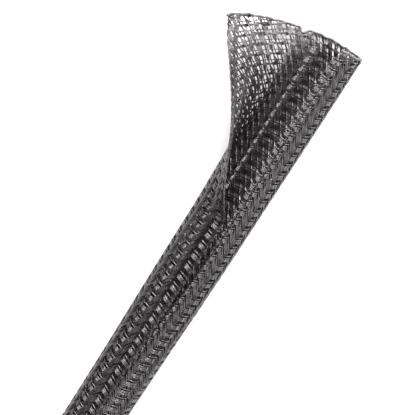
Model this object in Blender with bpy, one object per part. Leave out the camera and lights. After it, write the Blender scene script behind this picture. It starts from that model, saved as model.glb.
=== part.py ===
"""A braided cable sleeve: one sheet of monofilament braid, heat-set so that it rolls up into a tube.

The sheet is rolled about the X axis. Its inner edge is tucked under its outer edge along a split
that faces up. At the +X mouth the outer edge has been pulled open: the flap stands up out of the
split and then falls outward, towards +Y, as a fan that lies almost flat.

A point of the sheet has two coordinates: `along`, its distance from the closed end, and `across`,
its distance from the line where the tube touches the floor. `across` is positive on the flap's
side and negative on the tucked side.
"""

import math

import bmesh
import bpy
from mathutils import Vector

# Driving dimensions, in metres
SLEEVE_LENGTH = 0.305
WALL = 0.0006
LAYER_GAP = 0.0003
TUBE_RADIUS = 0.0067        # middle of the wall on the flap's side, at the closed end
TUCKED_WIDTH = 0.0221       # floor line to the tucked edge, at the closed end
FLAP_WIDTH = 0.0216         # floor line to the flap's edge, at the closed end

# The tube swells and turns a little before the mouth, because the flap is held open there
SWELL = 0.0006              # growth of the radius
SWELL_LENGTH = 0.060
FLOOR_LINE_DRIFT = 0.0024   # how far the floor line wanders across the sheet

# The opened flap
OPENING_LENGTH = 0.050
FLAP_SPREAD = 0.13          # share by which the braid is pulled wider at the mouth
FLAP_SETBACK = 0.0077       # the flap's corner stays this far behind the mouth
EDGE_CURL = 1.15            # radians that the flap's edge still curls up at the mouth

# Straightening of the flap: the angle through which the tube's own curve carries on before the
# sheet leaves it in a straight line
ANGLE_AT_START = 2.4
ANGLE_AT_MOUTH = 0.02
UNROLL_EXPONENT = 1.3
RELEASE_ANGLE = 4.0
RELEASE_SHARE = 0.055

COLUMNS = 46
CLOSED_ROWS = 1
SWELL_ROWS = 5
OPENING_ROWS = 14
STEPS_PER_COLUMN = 4

SLEEVE_COLOR = (0.022, 0.022, 0.024, 1.0)


def smooth_step(share):
    share = min(max(share, 0.0), 1.0)
    return share * share * (3.0 - 2.0 * share)


def swell_share(along):
    """0 on the closed length, 1 from where the flap starts to open."""
    swell_end = SLEEVE_LENGTH - OPENING_LENGTH
    return smooth_step((along - swell_end + SWELL_LENGTH) / SWELL_LENGTH)


def opening_share(along):
    """0 up to where the flap starts to open, 1 at the mouth."""
    return max(0.0, (along - SLEEVE_LENGTH + OPENING_LENGTH) / OPENING_LENGTH)


def sheet_limits(along):
    """`across` at the tucked edge and at the flap's edge."""
    drift = FLOOR_LINE_DRIFT * swell_share(along)
    return drift - TUCKED_WIDTH, drift + FLAP_WIDTH


def flap_angle(distance, radius, along):
    """The sheet's slope at a distance from the floor line, on the flap's side."""
    opening = opening_share(along)
    if opening == 0.0:
        return distance / radius
    release = RELEASE_ANGLE * math.exp(-opening / RELEASE_SHARE)
    unrolled = opening ** UNROLL_EXPONENT
    limit = ANGLE_AT_START + (ANGLE_AT_MOUTH - ANGLE_AT_START) * unrolled + release
    turned = distance / (radius * limit)
    followed = limit * turned / (1.0 + turned ** 6) ** (1.0 / 6.0)
    width = sheet_limits(along)[1]
    curl = EDGE_CURL * smooth_step((opening - 0.3) / 0.7)
    return followed + curl * (distance / width) ** 3


def side_points(along, width, side):
    """Points from the floor line to one edge of the sheet, stepped along its curve."""
    radius = TUBE_RADIUS + SWELL * swell_share(along)
    spread = 0.0
    setback = 0.0
    if side > 0:
        spread = FLAP_SPREAD * opening_share(along)
        setback = FLAP_SETBACK * opening_share(along)
    else:
        radius -= (WALL + LAYER_GAP) / 2.0
    columns = COLUMNS // 2
    steps = columns * STEPS_PER_COLUMN
    step = width / steps
    spread_step = step + step * spread
    y = 0.0
    z = WALL / 2.0
    points = [Vector((along, y, z))]
    for index in range(steps):
        distance = (index + 0.5) * step
        angle = flap_angle(distance, radius, along) if side > 0 else distance / radius
        y += side * math.cos(angle) * spread_step
        z += math.sin(angle) * spread_step
        if (index + 1) % STEPS_PER_COLUMN == 0:
            share = (index + 1) / steps
            points.append(Vector((along - setback * share ** 1.5, y, z)))
    return points


def sheet_row(along):
    """One row of the sheet's middle surface, from the tucked edge to the flap's edge."""
    tucked_edge, flap_edge = sheet_limits(along)
    tucked = side_points(along, -tucked_edge, -1)
    flap = side_points(along, flap_edge, 1)
    return tucked[:0:-1] + flap


def row_stations():
    """Distances along the sleeve: few where it is straight, closer where it bends."""
    swell_start = SLEEVE_LENGTH - OPENING_LENGTH - SWELL_LENGTH
    stations = [swell_start * row / CLOSED_ROWS for row in range(CLOSED_ROWS)]
    stations += [swell_start + SWELL_LENGTH * row / SWELL_ROWS for row in range(SWELL_ROWS)]
    opening_start = SLEEVE_LENGTH - OPENING_LENGTH
    stations += [
        opening_start + OPENING_LENGTH * row / OPENING_ROWS for row in range(OPENING_ROWS + 1)
    ]
    return stations


def sleeve_material():
    material = bpy.data.materials.new("black_braid")
    material.use_nodes = True
    shader = material.node_tree.nodes["Principled BSDF"]
    shader.inputs["Base Color"].default_value = SLEEVE_COLOR
    shader.inputs["Roughness"].default_value = 0.38
    shader.inputs["Metallic"].default_value = 0.0
    return material


def make_sheet():
    """The rolled sheet as one surface, thickened to both sides of its middle."""
    mesh = bpy.data.meshes.new("braided_sleeve")
    sheet = bmesh.new()
    rows = [[sheet.verts.new(point) for point in sheet_row(along)] for along in row_stations()]
    for row, next_row in zip(rows, rows[1:]):
        for index in range(len(row) - 1):
            sheet.faces.new((row[index], row[index + 1], next_row[index + 1], next_row[index]))
    sheet.to_mesh(mesh)
    sheet.free()
    mesh.shade_smooth()
    mesh.materials.append(sleeve_material())

    sleeve = bpy.data.objects.new("braided_sleeve", mesh)
    bpy.context.collection.objects.link(sleeve)
    thicken = sleeve.modifiers.new("Wall", "SOLIDIFY")
    thicken.thickness = WALL
    thicken.offset = 0.0
    thicken.use_even_offset = True
    return sleeve


def stand_on_origin(sleeve):
    """Centre the sleeve's box over the origin, with its lowest point on the floor."""
    bpy.context.view_layer.update()
    evaluated = sleeve.evaluated_get(bpy.context.evaluated_depsgraph_get())
    corners = [Vector(corner) for corner in evaluated.bound_box]
    low = [min(corner[axis] for corner in corners) for axis in range(3)]
    high = [max(corner[axis] for corner in corners) for axis in range(3)]
    sleeve.location = (-(low[0] + high[0]) / 2.0, -(low[1] + high[1]) / 2.0, -low[2])


def main():
    for existing in list(bpy.data.objects):
        bpy.data.objects.remove(existing)
    stand_on_origin(make_sheet())


main()
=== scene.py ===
import math

import bpy
import numpy as np
from mathutils import Matrix, Vector


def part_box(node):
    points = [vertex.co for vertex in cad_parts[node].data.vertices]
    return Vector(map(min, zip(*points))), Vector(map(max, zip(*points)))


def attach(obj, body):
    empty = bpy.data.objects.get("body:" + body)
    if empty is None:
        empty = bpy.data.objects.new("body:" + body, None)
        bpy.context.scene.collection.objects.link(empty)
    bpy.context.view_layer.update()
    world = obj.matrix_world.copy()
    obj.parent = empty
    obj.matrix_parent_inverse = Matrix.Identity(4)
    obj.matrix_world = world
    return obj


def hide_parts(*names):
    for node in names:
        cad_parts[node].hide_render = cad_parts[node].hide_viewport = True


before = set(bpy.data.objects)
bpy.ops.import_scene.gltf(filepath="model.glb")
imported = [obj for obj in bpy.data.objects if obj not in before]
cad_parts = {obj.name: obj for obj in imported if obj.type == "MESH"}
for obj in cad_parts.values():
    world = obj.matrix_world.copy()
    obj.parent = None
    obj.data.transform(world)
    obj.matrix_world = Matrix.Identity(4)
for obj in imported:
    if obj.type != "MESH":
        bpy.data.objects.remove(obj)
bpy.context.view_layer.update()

# The rolled sheet, in metres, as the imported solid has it
SLEEVE_LENGTH = 0.305
WALL = 0.0006
LAYER_GAP = 0.0003
TUBE_RADIUS = 0.0067
TUCKED_WIDTH = 0.0221
FLAP_WIDTH = 0.0216
SWELL = 0.0006
SWELL_LENGTH = 0.060
FLOOR_LINE_DRIFT = 0.0024
OPENING_LENGTH = 0.050
FLAP_SPREAD = 0.13
FLAP_SETBACK = 0.0077
SETBACK_EXPONENT = 1.5
EDGE_CURL = 1.15
CURL_START = 0.3            # share of the opened length
CURL_EXPONENT = 3
ANGLE_AT_START = 2.4
ANGLE_AT_MOUTH = 0.02
UNROLL_EXPONENT = 1.3
RELEASE_ANGLE = 4.0
RELEASE_SHARE = 0.055
STRAIGHTENING_EXPONENT = 6

# The braid: two families of strands cross, a bunch of filaments and a single one by turns. A
# strand crosses one column of the sheet over a few strands of the other family, and the next
# column under as many. In those two columns it moves one cell along the sleeve.
COLUMNS = 20
FLOAT_STRANDS = 3
STRAND_PITCH = 0.0013
CELL_LENGTH = FLOAT_STRANDS * STRAND_PITCH
CELL_LENGTH_AT_MOUTH = 0.00368
BUNCH = 4
FILAMENT_RADIUS = 0.000125
SINGLE_RADIUS = 0.000140
LEAD_OF_SINGLES = 0.13      # in columns
FLOAT_HEIGHT = 0.00023
FLOAT_CENTRE = 0.25         # in columns
FLOAT_FLATNESS = 1.2
FLOAT_STRAIGHTNESS = 0.6    # share of the tube's own curve that a float doesn't follow
TURN_ROUNDING = 0.25        # in columns
PIECES = 6
SEED = 7

# Spacing of the filaments in a bunch
CLOSED_SPACING = 0.000280
LAID_SPACING = 0.000300     # on the floor of the opened mouth
SPREAD_SPACING = 0.000235   # on a float, where the braid is pulled open
TIGHT_SPACING = 0.000050    # between the floats there
TIGHT_STAGGER = 0.00009
TIGHTENING_EXPONENT = 0.45

# Where the braid is pulled open, and where its filaments lie side by side: distances from the
# floor line or the mouth, and shares of the opened length
PULLED_FROM = 0.005
PULLED_MOUTH_LENGTH = 0.005
PULLED_OPENING = 0.3
PULLED_OPENING_EASING = 0.35
LAID_FROM = -0.012
LAID_OPENING_EASING = 0.1
EASING_LENGTH = 0.004

# Columns that stay closed where the rest is pulled open
DENSE_COLUMN = 15.7
DENSE_COLUMN_WIDTH = 0.30
DENSE_COLUMN_SHARE = 0.7
DENSE_EDGE_COLUMN = 18.6

# Skew: how far the rows of cells lead along the sleeve, for the distance across it
SKEW_TURN = -0.007
SKEW_OF_TUCKED_SIDE = -0.60
SKEW_OF_FLAP = 0.60
SKEW_OF_OPENED_FLAP = 0.85
SKEW_AHEAD_OF_SWELL = 0.02
SKEW_EASED_IN_FAN = 0.5
FAN_START = 0.008

# Unevenness: how far a filament strays to the side and in height, and over what length
SIDE_STRAY = 0.00003
SIDE_STRAY_LENGTH = 0.011
HEIGHT_STRAY = 0.000012
HEIGHT_STRAY_LENGTH = 0.006
NOISE_WAVES = 3
NOISE_WAVE_STEP = 0.62
NOISE_PEAK = 2.2

# How finely the filaments are drawn near the mouth and beyond: points per column, and sides
FINE_LENGTH = 0.118
FINE_POINTS = 7.0
FINE_SIDES = 4
PLAIN_POINTS = 4.0
PLAIN_SIDES = 3

# Routes are worked out past both ends of the sleeve, and then cut
ROUTE_OVERRUN = 0.03
ROUTE_SAMPLES = 3651

# The hot-cut ends
NOTCH_DEPTH = 0.0011
NOTCH_FROM_TUCKED_EDGE = 0.0268
NOTCH_WIDTH = 0.0007
CUT_WAVE_HEIGHT = 0.00007
SHORT_CUT_WAVE = 2900.0     # radians per metre
LONG_CUT_WAVE = 1730.0
BEAD_RADIUS = 0.00033
BEAD_SIDES = 8
BEAD_POINTS = 260
BEAD_LUMP_SHARE = 0.12
BEAD_LUMP_LENGTH = 0.0016
BEAD_GRAIN_LENGTH = 0.0005
BEAD_TONE = 0.5

# Samples of the sheet's shape
SHEET_ROWS = 1221
SHEET_STEPS = 160
NORMAL_REACH = 0.0004

# Black polyester, smooth in the filaments and rough where it has melted: darkest and lightest
# colour, least and most roughness
POLYESTER_IOR = 1.57
FILAMENT_COLOURS = ((0.0034, 0.0030, 0.0031, 1.0), (0.0086, 0.0079, 0.0081, 1.0))
FILAMENT_ROUGHNESS = (0.06, 0.14)
FUSED_COLOURS = ((0.0105, 0.0100, 0.0101, 1.0), (0.047, 0.045, 0.0455, 1.0))
FUSED_ROUGHNESS = (0.30, 0.60)

# Camera, placed from the mouth and the line where the tube touches the floor
CAMERA_DISTANCE = 0.350
CAMERA_TILT = math.radians(11.73)
CAMERA_ROLL = math.radians(32.74)
CAMERA_FOCUS_FROM_MOUTH = 0.0483
CAMERA_FOCUS_TO_FLAP_SIDE = 0.0045
CAMERA_FOCUS_HEIGHT = 0.007
SENSOR_WIDTH = 36.0         # millimetres
LENS_WIDTHS = 3.595         # focal length, in widths of the sensor

FLOOR_REACH = 1.5
FLOOR_COLOUR = (0.62, 0.62, 0.62, 1.0)
LIGHT_COLOUR = (1.0, 0.968, 0.974)
AMBIENT_STRENGTH = 0.17

# Softboxes: name, place from the camera's focus, width and height, and power in watts
SOFTBOXES = (
    ("right_softbox", (0.2, -0.95, 0.15), (1.0, 0.25), 13.4),
    ("right_high_softbox", (0.2, -0.8, 0.56), (0.6, 0.3), 0.9),
    ("front_softbox", (0.8, 0.22, 0.55), (0.8, 0.5), 50.3),
    ("front_right_softbox", (0.8, -0.3, 0.52), (0.7, 0.5), 13.2),
    ("top_softbox", (0.5, 0.0, 0.87), (0.6, 0.4), 4.5),
    ("back_softbox", (-0.7, 0.0, 0.7), (0.5, 0.3), 3.3),
)


def smooth_step(share):
    share = np.clip(share, 0.0, 1.0)
    return share * share * (3.0 - 2.0 * share)


# The sheet's shape

def swell_share(along):
    """0 on the closed length, 1 from where the flap starts to open."""
    swell_end = SLEEVE_LENGTH - OPENING_LENGTH
    return smooth_step((along - swell_end + SWELL_LENGTH) / SWELL_LENGTH)


def opening_share(along):
    """0 up to where the flap starts to open, 1 at the mouth."""
    return np.maximum(0.0, (along - SLEEVE_LENGTH + OPENING_LENGTH) / OPENING_LENGTH)


def sheet_limits(along):
    """Distance across the sheet, from the floor line, of the tucked edge and the flap's edge."""
    drift = FLOOR_LINE_DRIFT * swell_share(along)
    return drift - TUCKED_WIDTH, drift + FLAP_WIDTH


def flap_table(along):
    """Middle of the wall, from the floor line (first column) to the flap's edge (last)."""
    opening = opening_share(along)[:, None]
    radius = (TUBE_RADIUS + SWELL * swell_share(along))[:, None]
    width = sheet_limits(along)[1][:, None]
    share = (np.arange(SHEET_STEPS) + 0.5) / SHEET_STEPS
    release = RELEASE_ANGLE * np.exp(-opening / RELEASE_SHARE)
    unrolled = opening ** UNROLL_EXPONENT
    limit = ANGLE_AT_START + (ANGLE_AT_MOUTH - ANGLE_AT_START) * unrolled + release
    turned = width * share / (radius * limit)
    straightened = (1.0 + turned ** STRAIGHTENING_EXPONENT) ** (1.0 / STRAIGHTENING_EXPONENT)
    followed = limit * turned / straightened
    curl = EDGE_CURL * smooth_step((opening - CURL_START) / (1.0 - CURL_START))
    angle = np.where(opening > 0.0, followed + curl * share ** CURL_EXPONENT, width * share / radius)
    step = width / SHEET_STEPS * (1.0 + FLAP_SPREAD * opening)
    from_floor_line = np.arange(SHEET_STEPS + 1) / SHEET_STEPS
    setback = FLAP_SETBACK * opening * from_floor_line ** SETBACK_EXPONENT
    return stepped_points(along[:, None] - setback, angle, step, 1)


def tucked_table(along):
    """Middle of the wall, from the floor line (first column) to the tucked edge (last)."""
    radius = TUBE_RADIUS + SWELL * swell_share(along) - (WALL + LAYER_GAP) / 2.0
    width = -sheet_limits(along)[0]
    share = (np.arange(SHEET_STEPS) + 0.5) / SHEET_STEPS
    angle = (width / radius)[:, None] * share
    x = np.repeat(along[:, None], SHEET_STEPS + 1, axis=1)
    return stepped_points(x, angle, (width / SHEET_STEPS)[:, None], -1)


def stepped_points(x, angle, step, side):
    """Points from the floor line to one edge of the sheet, by the slope of each step."""
    y = np.zeros(x.shape)
    z = np.full(x.shape, WALL / 2.0)
    y[:, 1:] = side * np.cumsum(np.cos(angle) * step, axis=1)
    z[:, 1:] += np.cumsum(np.sin(angle) * step, axis=1)
    return np.stack((x, y, z), axis=-1)


def blend_table(table, row, column):
    """Values between a table's rows and columns."""
    row_low = np.minimum(row.astype(int), table.shape[0] - 2)
    column_low = np.minimum(column.astype(int), table.shape[1] - 2)
    row_part = (row - row_low)[..., None]
    column_part = (column - column_low)[..., None]
    near = table[row_low, column_low] * (1.0 - column_part)
    near += table[row_low, column_low + 1] * column_part
    far = table[row_low + 1, column_low] * (1.0 - column_part)
    far += table[row_low + 1, column_low + 1] * column_part
    return near * (1.0 - row_part) + far * row_part


class Sheet:
    """The rolled sheet's middle surface, by distance along it and inward from its tucked edge."""

    width = TUCKED_WIDTH + FLAP_WIDTH

    def __init__(self, low, high):
        rows = np.linspace(0.0, SLEEVE_LENGTH, SHEET_ROWS)
        flap = flap_table(rows)
        tucked = tucked_table(rows)
        middle_y = (flap[..., 1].max() + tucked[..., 1].min()) / 2.0
        self.floor_line_y = (low.y + high.y) / 2.0 - middle_y
        shift = np.array((low.x, self.floor_line_y, 0.0))
        self.flap = flap + shift
        self.tucked = tucked + shift

    def point(self, along, inward):
        tucked_edge, flap_edge = sheet_limits(along)
        across = inward + tucked_edge
        row = np.clip(along / SLEEVE_LENGTH, 0.0, 1.0) * (SHEET_ROWS - 1)
        flap_column = np.clip(across / flap_edge, 0.0, 1.0) * SHEET_STEPS
        tucked_column = np.clip(across / tucked_edge, 0.0, 1.0) * SHEET_STEPS
        flap = blend_table(self.flap, row, flap_column)
        tucked = blend_table(self.tucked, row, tucked_column)
        return np.where((across >= 0.0)[..., None], flap, tucked)

    def normal(self, along, inward):
        """The direction out of the roll."""
        high = self.point(along, np.clip(inward + NORMAL_REACH, 0.0, self.width))
        low = self.point(along, np.clip(inward - NORMAL_REACH, 0.0, self.width))
        ahead = self.point(np.clip(along + NORMAL_REACH, 0.0, SLEEVE_LENGTH), inward)
        back = self.point(np.clip(along - NORMAL_REACH, 0.0, SLEEVE_LENGTH), inward)
        normal = np.cross(high - low, ahead - back)
        return normal / np.linalg.norm(normal, axis=-1, keepdims=True)


# The filaments' routes on the flat sheet

def cell_phase():
    """Distances along the sleeve, and the columns that a strand has crossed up to each."""
    along = np.linspace(-ROUTE_OVERRUN, SLEEVE_LENGTH + ROUTE_OVERRUN, ROUTE_SAMPLES)
    shortening = CELL_LENGTH_AT_MOUTH - CELL_LENGTH
    cell = CELL_LENGTH + shortening * np.minimum(opening_share(along), 1.0)
    passed = np.concatenate(((0.0,), np.cumsum(2.0 / cell[:-1] * np.diff(along))))
    return along, passed


def skew(along, inward):
    """How far the rows of cells lead along the sleeve, which is least where the skew turns."""
    across = inward + sheet_limits(along)[0]
    opened = swell_share(along + SKEW_AHEAD_OF_SWELL)
    flap_skew = SKEW_OF_FLAP + (SKEW_OF_OPENED_FLAP - SKEW_OF_FLAP) * opened
    from_turn = across - SKEW_TURN
    flap_side = np.maximum(from_turn, 0.0) * flap_skew
    in_fan = np.maximum(across - FAN_START, 0.0) * np.minimum(opening_share(along), 1.0)
    flap_side -= SKEW_EASED_IN_FAN * in_fan
    return flap_side + np.minimum(from_turn, 0.0) * SKEW_OF_TUCKED_SIDE


def strand_route(strand, passed):
    """A strand's distance in from the tucked edge, in columns, and its height as a share."""
    turn = 2.0 * COLUMNS
    phase = (passed + strand * 2.0 / FLOAT_STRANDS) % turn
    to_low_turn = np.where(phase > COLUMNS, phase - turn, phase)
    to_high_turn = phase - COLUMNS
    near_low = np.abs(to_low_turn) < COLUMNS / 2.0
    low_side = np.sqrt(to_low_turn ** 2 + TURN_ROUNDING ** 2)
    high_side = COLUMNS - np.sqrt(to_high_turn ** 2 + TURN_ROUNDING ** 2)
    column = np.where(near_low, low_side, high_side)
    sharp_column = np.where(near_low, np.abs(to_low_turn), COLUMNS - np.abs(to_high_turn))
    heading = np.where(to_low_turn >= 0.0, 1.0, -1.0)
    wave = np.cos(math.pi * (sharp_column - FLOAT_CENTRE))
    height = heading * np.clip(FLOAT_FLATNESS * wave, -1.0, 1.0)
    height *= smooth_step(2.0 * np.minimum(sharp_column, COLUMNS - sharp_column))
    return column, height


def slow_noise(randoms, where, wavelength):
    """A smooth wander between about -1 and 1."""
    total = np.zeros(where.shape)
    for wave in range(NOISE_WAVES):
        turn = where * (2.0 * math.pi * (1.0 + NOISE_WAVE_STEP * wave) / wavelength)
        total += np.sin(turn + randoms.uniform(0.0, 2.0 * math.pi))
    return total / NOISE_PEAK


def pulled_share(along, inward):
    """0 where the braid lies closed, 1 where it is pulled open and its bunches draw in."""
    across = inward + sheet_limits(along)[0]
    opened = smooth_step((opening_share(along) - PULLED_OPENING) / PULLED_OPENING_EASING)
    on_flap = smooth_step((across - PULLED_FROM) / EASING_LENGTH) * opened
    at_mouth = smooth_step((along - SLEEVE_LENGTH + PULLED_MOUTH_LENGTH) / EASING_LENGTH)
    return np.maximum(on_flap, at_mouth)


def dense_share(column):
    """1 on the columns that stay closed where the rest is pulled open."""
    closed_column = np.exp(-((column - DENSE_COLUMN) / DENSE_COLUMN_WIDTH) ** 2)
    closed_edge = smooth_step(column - DENSE_EDGE_COLUMN)
    return np.clip(DENSE_COLUMN_SHARE * closed_column + closed_edge, 0.0, 1.0)


def laid_share(along, inward):
    """1 on the floor of the opened mouth, where the filaments lie side by side."""
    across = inward + sheet_limits(along)[0]
    opened = smooth_step(opening_share(along) / LAID_OPENING_EASING)
    return smooth_step((across - LAID_FROM) / EASING_LENGTH) * opened


def filament_path(sheet, strand, member, members, passed, along_at, randoms):
    """Distance along, distance inward and height of one filament of a strand."""
    lead = LEAD_OF_SINGLES if members == 1 else 0.0
    column, height = strand_route(strand, passed + lead)
    inward = column / COLUMNS * sheet.width
    along = along_at + skew(along_at, inward)
    run_along = np.gradient(along)
    run_across = np.gradient(inward)
    length = np.hypot(run_along, run_across)

    pulled = pulled_share(along, inward) * (1.0 - dense_share(column))
    between_floats = 0.5 + 0.5 * np.cos(2.0 * math.pi * column)
    tightening = between_floats ** TIGHTENING_EXPONENT
    pulled_spacing = SPREAD_SPACING + (TIGHT_SPACING - SPREAD_SPACING) * tightening
    closed_spacing = CLOSED_SPACING + (LAID_SPACING - CLOSED_SPACING) * laid_share(along, inward)
    room = 2.0 * STRAND_PITCH * np.abs(run_across) / length / (BUNCH + 1)
    closed_spacing = np.minimum(closed_spacing, room)
    spacing = closed_spacing + (pulled_spacing - closed_spacing) * pulled

    place = member - (members - 1) / 2.0
    offset = place * spacing + SIDE_STRAY * slow_noise(randoms, along, SIDE_STRAY_LENGTH)
    along = along - run_across / length * offset
    inward = np.clip(inward + run_along / length * offset, 0.0, sheet.width)

    lift = height * FLOAT_HEIGHT
    if members > 1:
        lift += TIGHT_STAGGER * pulled * between_floats * (-1.0) ** member
    from_float_centre = ((column - FLOAT_CENTRE + 0.5) % 1.0 - 0.5) * sheet.width / COLUMNS
    lift += FLOAT_STRAIGHTNESS * (1.0 - pulled) * from_float_centre ** 2 / (2.0 * TUBE_RADIUS)
    lift += HEIGHT_STRAY * slow_noise(randoms, along, HEIGHT_STRAY_LENGTH)
    return along, inward, lift


def mouth_setback(inward):
    """How far the cut at the mouth lies behind a straight cut."""
    notch = NOTCH_DEPTH * np.exp(-((inward - NOTCH_FROM_TUCKED_EDGE) / NOTCH_WIDTH) ** 2)
    waves = np.sin(inward * SHORT_CUT_WAVE) + np.sin(inward * LONG_CUT_WAVE + 1.0)
    return notch + CUT_WAVE_HEIGHT * (2.0 + waves)


def trimmed(along, inward, lift):
    """The stretch of a route between the sleeve's two cut ends, ending exactly on them."""
    to_mouth = SLEEVE_LENGTH - mouth_setback(inward) - along
    first = int(np.argmax(along > 0.0))
    last = int(np.argmax(to_mouth < 0.0)) - 1
    start_part = -along[first - 1] / (along[first] - along[first - 1])
    end_part = to_mouth[last] / (to_mouth[last] - to_mouth[last + 1])
    results = []
    for values in (along, inward, lift):
        start = values[first - 1] + (values[first] - values[first - 1]) * start_part
        end = values[last] + (values[last + 1] - values[last]) * end_part
        results.append(np.concatenate(((start,), values[first:last + 1], (end,))))
    return results


# Meshes

def tube(path, up, radius, sides):
    """Vertices, side faces and end faces of a closed tube with flat ends."""
    ahead = np.gradient(path, axis=0)
    ahead /= np.linalg.norm(ahead, axis=1, keepdims=True)
    sideways = np.cross(ahead, up)
    sideways /= np.linalg.norm(sideways, axis=1, keepdims=True)
    upward = np.cross(sideways, ahead)
    flat_top = 0.5 if sides % 2 == 0 else 0.0
    turns = math.pi / 2.0 + (np.arange(sides) + flat_top) * (2.0 * math.pi / sides)
    ring = sideways[:, None, :] * np.cos(turns)[None, :, None]
    ring = ring + upward[:, None, :] * np.sin(turns)[None, :, None]
    vertices = path[:, None, :] + ring * np.reshape(radius, (-1, 1, 1))
    row = np.arange(len(path) - 1)[:, None] * sides
    corner = np.arange(sides)[None, :]
    following = (corner + 1) % sides
    next_row = row + sides
    quads = np.stack((row + corner, row + following, next_row + following, next_row + corner), -1)
    start_cap = np.arange(sides)[::-1][None, :]
    end_cap = (len(path) - 1) * sides + np.arange(sides)[None, :]
    return vertices.reshape(-1, 3), quads.reshape(-1, 4), np.concatenate((start_cap, end_cap))


class TubeBundle:
    """Many tubes gathered into one mesh."""

    def __init__(self):
        self.vertices = []
        self.faces = []
        self.tones = []
        self.count = 0

    def add(self, path, up, radius, sides, tone):
        vertices, quads, caps = tube(path, up, radius, sides)
        self.vertices.append(vertices)
        self.faces.append(quads + self.count)
        self.faces.append(caps + self.count)
        self.tones.append(np.full(len(vertices), tone))
        self.count += len(vertices)

    def make_object(self, name, material):
        mesh = bpy.data.meshes.new(name)
        corners = np.concatenate([faces.ravel() for faces in self.faces]).astype(np.int32)
        sizes = np.concatenate([np.full(len(faces), faces.shape[1]) for faces in self.faces])
        mesh.vertices.add(self.count)
        mesh.vertices.foreach_set("co", np.concatenate(self.vertices).astype(np.float32).ravel())
        mesh.loops.add(len(corners))
        mesh.loops.foreach_set("vertex_index", corners)
        mesh.polygons.add(len(sizes))
        starts = np.concatenate(((0,), np.cumsum(sizes)[:-1])).astype(np.int32)
        mesh.polygons.foreach_set("loop_start", starts)
        mesh.update(calc_edges=True)
        mesh.validate()
        mesh.shade_smooth()
        tone = mesh.attributes.new("tone", "FLOAT", "POINT")
        tone.data.foreach_set("value", np.concatenate(self.tones).astype(np.float32))
        mesh.materials.append(material)
        piece = bpy.data.objects.new(name, mesh)
        bpy.context.collection.objects.link(piece)
        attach(piece, "root")
        return piece


def make_braid(sheet, material):
    """Every filament, shared out over a few pieces by strand."""
    randoms = np.random.default_rng(SEED)
    phase_along, phase_passed = cell_phase()
    fine_start = float(np.interp(SLEEVE_LENGTH - FINE_LENGTH, phase_along, phase_passed))
    plain = np.arange(0.0, fine_start, 1.0 / PLAIN_POINTS)
    fine = np.arange(fine_start, phase_passed[-1], 1.0 / FINE_POINTS)
    passed = np.concatenate((plain, fine))
    along_at = np.interp(passed, phase_passed, phase_along)
    bundles = [TubeBundle() for piece in range(PIECES)]
    for strand in range(FLOAT_STRANDS * COLUMNS):
        bundle = bundles[strand // 2 % PIECES]
        members = BUNCH if strand % 2 == 0 else 1
        radius = FILAMENT_RADIUS if members > 1 else SINGLE_RADIUS
        for member in range(members):
            along, inward, lift = filament_path(
                sheet, strand, member, members, passed, along_at, randoms)
            along, inward, lift = trimmed(along, inward, lift)
            normal = sheet.normal(along, inward)
            path = sheet.point(along, inward) + normal * lift[:, None]
            tone = randoms.uniform(0.0, 1.0)
            join = int(np.argmax(along > SLEEVE_LENGTH - FINE_LENGTH))
            bundle.add(path[:join + 1], normal[:join + 1], radius, PLAIN_SIDES, tone)
            bundle.add(path[join:], normal[join:], radius, FINE_SIDES, tone)
    pieces = []
    for index, bundle in enumerate(bundles):
        pieces.append(bundle.make_object(f"strands_{index + 1}", material))
    return pieces


def make_cut_edge(sheet, name, at_mouth, material):
    """The bead of melted filament along a hot-cut end."""
    randoms = np.random.default_rng(SEED + len(name))
    inward = np.linspace(0.0, sheet.width, BEAD_POINTS)
    along = SLEEVE_LENGTH - mouth_setback(inward) if at_mouth else np.zeros(BEAD_POINTS)
    lumps = slow_noise(randoms, inward, BEAD_LUMP_LENGTH)
    lumps = lumps + slow_noise(randoms, inward, BEAD_GRAIN_LENGTH)
    radius = BEAD_RADIUS * (1.0 + BEAD_LUMP_SHARE * lumps)
    bundle = TubeBundle()
    bundle.add(
        sheet.point(along, inward), sheet.normal(along, inward), radius, BEAD_SIDES, BEAD_TONE)
    return bundle.make_object(name, material)


# Materials

def add_noise(material, scale, detail):
    """Noise over the object, `scale` to the metre."""
    nodes = material.node_tree.nodes
    place = nodes.new("ShaderNodeTexCoord")
    noise = nodes.new("ShaderNodeTexNoise")
    noise.inputs["Scale"].default_value = scale
    noise.inputs["Detail"].default_value = detail
    material.node_tree.links.new(place.outputs["Object"], noise.inputs["Vector"])
    return noise.outputs["Fac"]


def vary_finish(material, value, colours, positions, roughness):
    """Makes the polyester's colour and roughness follow one value between 0 and 1."""
    nodes = material.node_tree.nodes
    links = material.node_tree.links
    shader = nodes["Principled BSDF"]
    shader.inputs["IOR"].default_value = POLYESTER_IOR
    ramp = nodes.new("ShaderNodeValToRGB")
    for stop, colour, position in zip(ramp.color_ramp.elements, colours, positions):
        stop.color = colour
        stop.position = position
    links.new(value, ramp.inputs["Fac"])
    links.new(ramp.outputs["Color"], shader.inputs["Base Color"])
    rough = nodes.new("ShaderNodeMapRange")
    rough.inputs["To Min"].default_value = roughness[0]
    rough.inputs["To Max"].default_value = roughness[1]
    links.new(value, rough.inputs["Value"])
    links.new(rough.outputs["Result"], shader.inputs["Roughness"])


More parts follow.
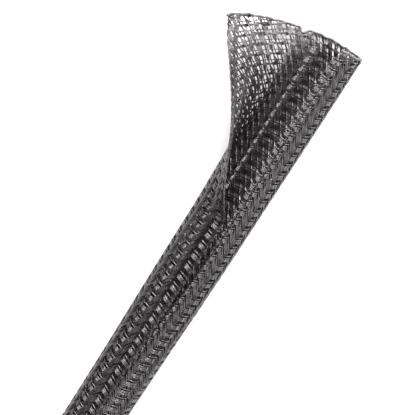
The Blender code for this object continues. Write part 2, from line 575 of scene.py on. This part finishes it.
def filament_material():
    """Black polyester monofilament: a smooth, slightly uneven gloss."""
    material = bpy.data.materials.new("black_monofilament")
    material.use_nodes = True
    nodes = material.node_tree.nodes
    links = material.node_tree.links
    tone = nodes.new("ShaderNodeAttribute")
    tone.attribute_name = "tone"
    half_specks = nodes.new("ShaderNodeMath")
    half_specks.operation = "MULTIPLY"
    half_specks.inputs[1].default_value = 0.5
    links.new(add_noise(material, 1400.0, 3.0), half_specks.inputs[0])
    half_of_each = nodes.new("ShaderNodeMath")
    half_of_each.operation = "MULTIPLY_ADD"
    half_of_each.inputs[1].default_value = 0.5
    links.new(tone.outputs["Fac"], half_of_each.inputs[0])
    links.new(half_specks.outputs[0], half_of_each.inputs[2])
    vary_finish(
        material, half_of_each.outputs[0], FILAMENT_COLOURS, (0.25, 0.75), FILAMENT_ROUGHNESS)
    return material


def melt_material():
    """The same polymer where the hot knife has fused it."""
    material = bpy.data.materials.new("fused_edge")
    material.use_nodes = True
    nodes = material.node_tree.nodes
    links = material.node_tree.links
    lumps = add_noise(material, 2600.0, 4.0)
    vary_finish(material, lumps, FUSED_COLOURS, (0.0, 1.0), FUSED_ROUGHNESS)
    bump = nodes.new("ShaderNodeBump")
    bump.inputs["Strength"].default_value = 0.5
    bump.inputs["Distance"].default_value = 0.0001
    links.new(lumps, bump.inputs["Height"])
    links.new(bump.outputs["Normal"], nodes["Principled BSDF"].inputs["Normal"])
    return material


# Stage, light and camera

def make_floor():
    mesh = bpy.data.meshes.new("floor")
    corners = [(-1, -1), (1, -1), (1, 1), (-1, 1)]
    places = [(x * FLOOR_REACH, y * FLOOR_REACH, 0.0) for x, y in corners]
    mesh.from_pydata(places, [], [(0, 1, 2, 3)])
    floor = bpy.data.objects.new("floor", mesh)
    bpy.context.collection.objects.link(floor)
    material = bpy.data.materials.new("pale_floor")
    material.use_nodes = True
    shader = material.node_tree.nodes["Principled BSDF"]
    shader.inputs["Base Color"].default_value = FLOOR_COLOUR
    shader.inputs["Roughness"].default_value = 0.8
    shader.inputs["Specular IOR Level"].default_value = 0.1
    mesh.materials.append(material)


def add_area_light(name, location, target, size, power):
    light = bpy.data.lights.new(name, "AREA")
    light.shape = "RECTANGLE"
    light.size, light.size_y = size
    light.energy = power
    light.color = LIGHT_COLOUR
    holder = bpy.data.objects.new(name, light)
    bpy.context.collection.objects.link(holder)
    holder.location = location
    holder.rotation_euler = (target - location).to_track_quat("-Z", "Y").to_euler()


def make_light(focus):
    """Softboxes to the right, past the mouth, above and behind, in a dim white studio."""
    world = bpy.data.worlds.new("studio")
    bpy.context.scene.world = world
    world.use_nodes = True
    background = world.node_tree.nodes["Background"]
    background.inputs["Color"].default_value = (1.0, 1.0, 1.0, 1.0)
    background.inputs["Strength"].default_value = AMBIENT_STRENGTH
    for name, place, size, power in SOFTBOXES:
        add_area_light(name, focus + Vector(place), focus, size, power)
    bpy.context.scene.view_settings.view_transform = "Standard"


def make_camera(focus):
    """Looks down from above the mouth, rolled so that the sleeve runs up and to the right."""
    away = Vector((math.sin(CAMERA_TILT), 0.0, math.cos(CAMERA_TILT)))
    right = (-away).cross(Vector((1.0, 0.0, 0.0))).normalized()
    up = right.cross(-away)
    image_right = right * math.cos(CAMERA_ROLL) + up * math.sin(CAMERA_ROLL)
    image_up = up * math.cos(CAMERA_ROLL) - right * math.sin(CAMERA_ROLL)
    data = bpy.data.cameras.new("camera")
    data.sensor_width = SENSOR_WIDTH
    data.lens = SENSOR_WIDTH * LENS_WIDTHS
    data.clip_start = 0.01
    camera = bpy.data.objects.new("camera", data)
    bpy.context.collection.objects.link(camera)
    turn = Matrix((image_right, image_up, away)).transposed()
    camera.matrix_world = Matrix.Translation(focus + away * CAMERA_DISTANCE) @ turn.to_4x4()
    bpy.context.scene.camera = camera


low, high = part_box("braided_sleeve")
sheet = Sheet(low, high)
focus = Vector((
    high.x - CAMERA_FOCUS_FROM_MOUTH,
    sheet.floor_line_y + CAMERA_FOCUS_TO_FLAP_SIDE,
    CAMERA_FOCUS_HEIGHT,
))
make_camera(focus)
make_floor()
make_light(focus)
strand_pieces = make_braid(sheet, filament_material())
edge_material = melt_material()
make_cut_edge(sheet, "mouth_edge", True, edge_material)
make_cut_edge(sheet, "tail_edge", False, edge_material)
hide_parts("braided_sleeve")
